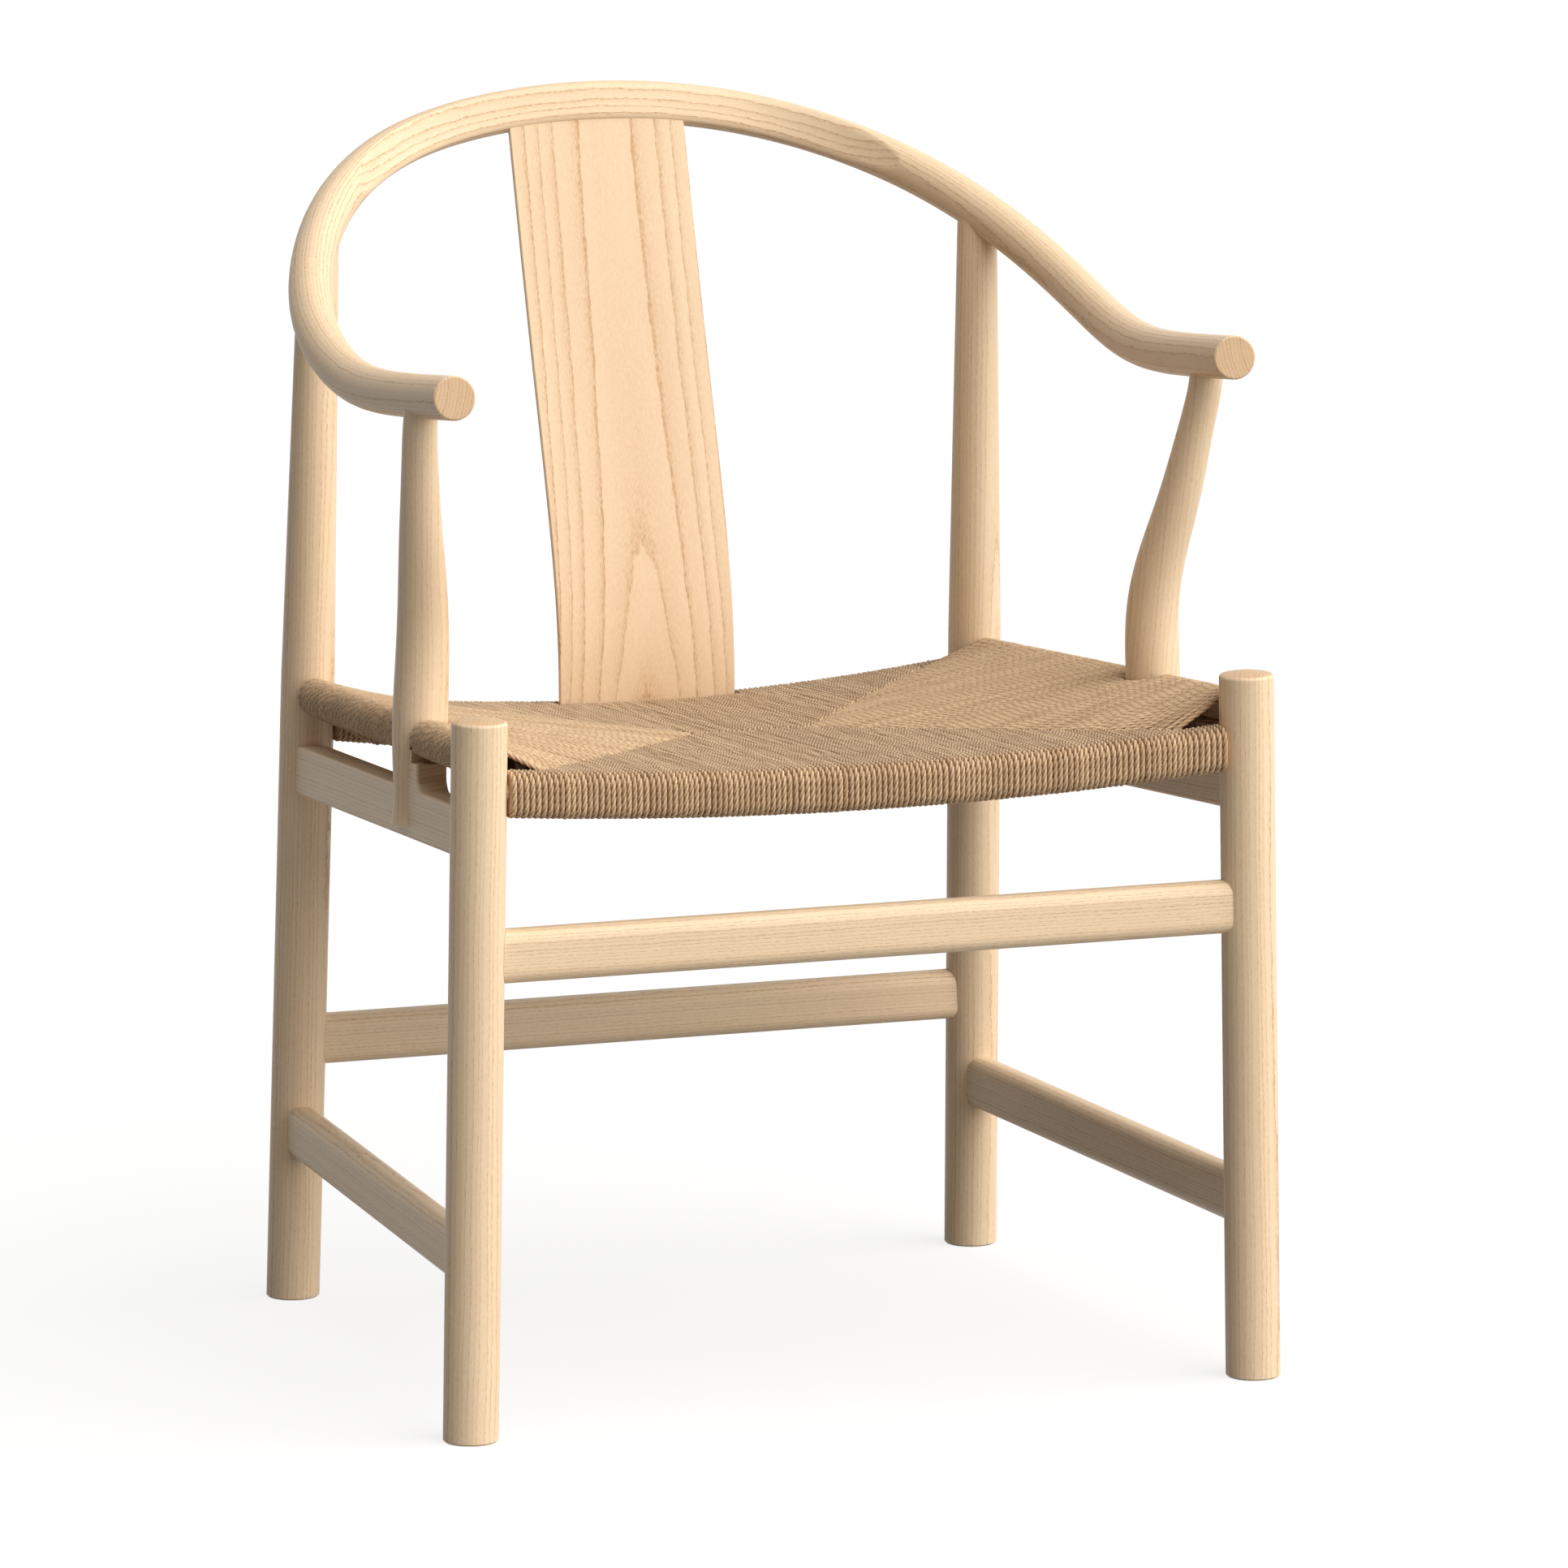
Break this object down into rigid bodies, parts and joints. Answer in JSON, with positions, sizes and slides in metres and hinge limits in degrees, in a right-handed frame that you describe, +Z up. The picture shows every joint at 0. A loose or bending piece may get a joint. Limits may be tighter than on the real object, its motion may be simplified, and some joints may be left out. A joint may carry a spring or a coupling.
{
  "type": "horseshoe back armchair",
  "caption": "Armchair in pale ash with a bent horseshoe crest rail, curved back splat and woven paper cord seat on round legs.",
  "frame": {"origin": "centre of the chair's footprint on the floor, under the middle of its bounding box", "axes": "+Z up, -Y is the front where the sitter's knees are, +X is right as seen from the front, symmetric about the YZ plane"},
  "size_m": [0.563, 0.55, 0.7852],
  "materials": {
    "frame_ash": "soap-finished pale ash, satin matt, fine straight grain",
    "crest_ash": "steam-bent pale ash, grain along the bend, satin matt",
    "splat_ash": "flat-sawn pale ash with cathedral grain, satin matt",
    "dowel_ash": "turned ash dowel, unfinished",
    "paper_cord": "tightly twisted natural paper cord, matt with a faint waxy sheen",
    "tack_steel": "plain blued steel"
  },
  "bodies": {
    "root": {"crest_rail": "crest_ash", "back_splat": "splat_ash", "front_leg_left": "frame_ash", "front_leg_right": "frame_ash", "rear_leg_left": "frame_ash", "rear_leg_right": "frame_ash", "arm_post_left": "frame_ash", "arm_post_right": "frame_ash", "front_seat_rail": "frame_ash", "rear_seat_rail": "frame_ash", "side_seat_rail_left": "frame_ash", "side_seat_rail_right": "frame_ash", "side_apron_left": "frame_ash", "side_apron_right": "frame_ash", "front_stretcher": "frame_ash", "rear_stretcher": "frame_ash", "side_stretcher_left": "frame_ash", "side_stretcher_right": "frame_ash", "front_weave": "paper_cord", "rear_weave": "paper_cord", "side_weave_left": "paper_cord", "side_weave_right": "paper_cord", "cord_tacks": "tack_steel", "post_dowels": "dowel_ash"}
  },
  "joints": []
}
